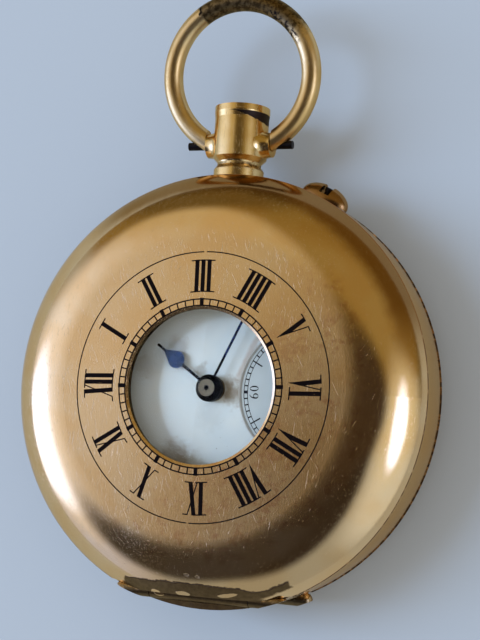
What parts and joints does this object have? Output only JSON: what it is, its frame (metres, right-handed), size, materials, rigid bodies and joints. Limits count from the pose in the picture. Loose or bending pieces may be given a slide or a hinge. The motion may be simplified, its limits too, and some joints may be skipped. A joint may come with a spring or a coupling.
{
  "type": "half hunter pocket watch",
  "caption": "Half hunter pocket watch in a gold case, with a windowed hinged front cover, hinged back, swinging bow, enamel dial and a lever movement.",
  "frame": {"origin": "centre of the flat land of the back cover, on which the watch rests", "axes": "+Z out of the dial, +Y to the pendant and bow, +X to VI and the seconds dial"},
  "size_m": [0.05, 0.072, 0.0155],
  "materials": {
    "case_gold": "polished rose gold plate, worn",
    "dark_steel": "dark tarnished steel",
    "polished_steel": "polished",
    "blued_steel": "heat-blued steel",
    "movement_brass": "gilt brass, grained",
    "gilt_plate": "frosted gilt brass",
    "ruby": "polished ruby",
    "enamel": "glossy white enamel",
    "glass": "clear mineral glass"
  },
  "bodies": {
    "case": {"case_band": "case_gold", "front_hinge_pin": "dark_steel", "back_hinge_pin": "dark_steel", "cuvette_hinge_pin": "dark_steel", "inner_bezel": "case_gold", "crystal": "glass", "pendant_tube": "case_gold", "bow_pins": "dark_steel", "setting_guard": "case_gold", "lift_spring": "dark_steel", "lock_spring": "dark_steel", "main_plate": "gilt_plate", "barrel_bridge": "gilt_plate", "train_bridge": "gilt_plate", "balance_cock": "gilt_plate", "jewels": "ruby", "bridge_screws": "blued_steel", "dial": "enamel", "seconds_dial": "enamel", "crown_wheel_screw": "blued_steel", "click_screw": "blued_steel", "click_spring": "polished_steel", "lever_stud": "polished_steel", "hairspring": "blued_steel", "minute_wheel_stud": "polished_steel"},
    "front_cover": {"front_cover": "case_gold", "cover_window_glass": "glass", "window_retaining_ring": "case_gold"},
    "back_cover": {"back_cover": "case_gold"},
    "cuvette": {"cuvette": "case_gold"},
    "bow": {"bow": "case_gold"},
    "setting_pin": {"setting_pin": "dark_steel"},
    "setting_lever": {"setting_lever": "polished_steel"},
    "sliding_pinion": {"sliding_pinion": "polished_steel"},
    "winding_stem": {"winding_stem": "polished_steel", "winding_pinion": "polished_steel"},
    "crown_wheel": {"crown_wheel": "polished_steel"},
    "ratchet": {"ratchet_wheel": "polished_steel", "ratchet_screw": "blued_steel", "barrel_arbor": "polished_steel"},
    "click": {"click": "polished_steel"},
    "barrel": {"barrel": "movement_brass", "barrel_cover": "movement_brass", "mainspring": "blued_steel"},
    "centre": {"centre_wheel": "movement_brass"},
    "third": {"third_wheel": "movement_brass"},
    "fourth": {"fourth_wheel": "movement_brass", "seconds_hand": "blued_steel"},
    "escape": {"escape_wheel": "polished_steel"},
    "pallet": {"pallet_fork": "polished_steel"},
    "balance": {"balance_wheel": "movement_brass", "balance_screws": "polished_steel"},
    "regulator": {"regulator": "polished_steel"},
    "minute": {"cannon_pinion": "polished_steel", "minute_hand": "blued_steel", "hub_disc": "polished_steel"},
    "minute_wheel": {"minute_wheel": "movement_brass"},
    "hour": {"hour_wheel": "movement_brass", "hour_hand": "blued_steel"}
  },
  "joints": [
    {"name": "front_cover_hinge", "type": "hinge", "parent": "case", "child": "front_cover", "pos_m": [0, -0.0233, 0.0109], "axis": [1, 0, 0], "range_deg": [0, 92]},
    {"name": "back_cover_hinge", "type": "hinge", "parent": "case", "child": "back_cover", "pos_m": [0, -0.0233, 0.0043], "axis": [-1, 0, 0], "range_deg": [0, 92]},
    {"name": "cuvette_hinge", "type": "hinge", "parent": "case", "child": "cuvette", "pos_m": [0, -0.0213, 0.00475], "axis": [-1, 0, 0], "range_deg": [0, 38.7]},
    {"name": "bow_swing", "type": "hinge", "parent": "case", "child": "bow", "pos_m": [0, 0.0291, 0.0076], "axis": [1, 0, 0], "range_deg": [-90, 80]},
    {"name": "setting_pin_push", "type": "slide", "parent": "case", "child": "setting_pin", "axis": [-0.4337, -0.9011, 0], "range_m": [0, 0.0003], "stiffness_N_per_m": 200, "springref_m": -0.0002},
    {"name": "setting_lever_rock", "type": "hinge", "parent": "case", "child": "setting_lever", "pos_m": [0.0162, 0.0076, 0.0076], "axis": [0, 0, 1], "range_deg": [0, 1.8]},
    {"name": "sliding_pinion_slide", "type": "slide", "parent": "case", "child": "sliding_pinion", "axis": [0, -1, 0], "range_m": [0, 0.00045]},
    {"name": "stem_turn", "type": "hinge", "parent": "case", "child": "winding_stem", "pos_m": [0, 0.02, 0.0076], "axis": [0, 1, 0], "continuous": true},
    {"name": "crown_wheel_turn", "type": "hinge", "parent": "case", "child": "crown_wheel", "pos_m": [0, 0.01404, 0.006], "axis": [0, 0, 1], "continuous": true},
    {"name": "ratchet_turn", "type": "hinge", "parent": "case", "child": "ratchet", "pos_m": [-0.00523, 0.00747, 0.006], "axis": [0, 0, 1], "continuous": true},
    {"name": "click_rock", "type": "hinge", "parent": "case", "child": "click", "pos_m": [-0.01275, 0.00473, 0.006], "axis": [0, 0, 1], "range_deg": [-8, 0], "stiffness_Nm_per_rad": 0.00002, "springref_deg": 5.73},
    {"name": "barrel_turn", "type": "hinge", "parent": "case", "child": "barrel", "pos_m": [-0.00523, 0.00747, 0.006], "axis": [0, 0, 1], "continuous": true},
    {"name": "centre_turn", "type": "hinge", "parent": "case", "child": "centre", "pos_m": [0, 0, 0.006], "axis": [0, 0, 1], "continuous": true},
    {"name": "third_turn", "type": "hinge", "parent": "case", "child": "third", "pos_m": [0.0061, -0.0029, 0.006], "axis": [0, 0, 1], "continuous": true},
    {"name": "seconds_turn", "type": "hinge", "parent": "case", "child": "fourth", "pos_m": [0.0108, 0, 0.006], "axis": [0, 0, 1], "continuous": true},
    {"name": "escape_turn", "type": "hinge", "parent": "case", "child": "escape", "pos_m": [0.0123, -0.00413, 0.006], "axis": [0, 0, 1], "continuous": true},
    {"name": "pallet_rock", "type": "hinge", "parent": "case", "child": "pallet", "pos_m": [0.01024, -0.00708, 0.006], "axis": [0, 0, 1], "range_deg": [-3.5, 3.5]},
    {"name": "balance_swing", "type": "hinge", "parent": "case", "child": "balance", "pos_m": [0.00656, -0.01017, 0.006], "axis": [0, 0, 1], "range_deg": [-150, 150]},
    {"name": "regulator_swing", "type": "hinge", "parent": "case", "child": "regulator", "pos_m": [0.00656, -0.01017, 0.006], "axis": [0, 0, 1], "range_deg": [-20, 20]},
    {"name": "hand_setting", "type": "hinge", "parent": "case", "child": "minute", "pos_m": [0, 0, 0.006], "axis": [0, 0, 1], "continuous": true},
    {"name": "minute_wheel_turn", "type": "hinge", "parent": "case", "child": "minute_wheel", "pos_m": [-0.00063, 0.00355, 0.006], "axis": [0, 0, 1], "continuous": true},
    {"name": "hour_turn", "type": "hinge", "parent": "case", "child": "hour", "pos_m": [0, 0, 0.006], "axis": [0, 0, 1], "continuous": true}
  ],
  "couplings": [
    {"joint": "cuvette_hinge", "follows": "back_cover_hinge", "ratio": 0.42},
    {"joint": "setting_lever_rock", "follows": "setting_pin_push", "rad_per_m": 92},
    {"joint": "sliding_pinion_slide", "follows": "setting_pin_push", "ratio": 1.4},
    {"joint": "crown_wheel_turn", "follows": "stem_turn", "ratio": 0.75},
    {"joint": "ratchet_turn", "follows": "stem_turn", "ratio": -0.5},
    {"joint": "barrel_turn", "follows": "seconds_turn", "ratio": -0.002381},
    {"joint": "centre_turn", "follows": "seconds_turn", "ratio": 0.016667},
    {"joint": "third_turn", "follows": "seconds_turn", "ratio": -0.13333},
    {"joint": "escape_turn", "follows": "seconds_turn", "ratio": -10},
    {"joint": "minute_wheel_turn", "follows": "hand_setting", "ratio": -0.33333},
    {"joint": "hour_turn", "follows": "hand_setting", "ratio": 0.083333}
  ]
}
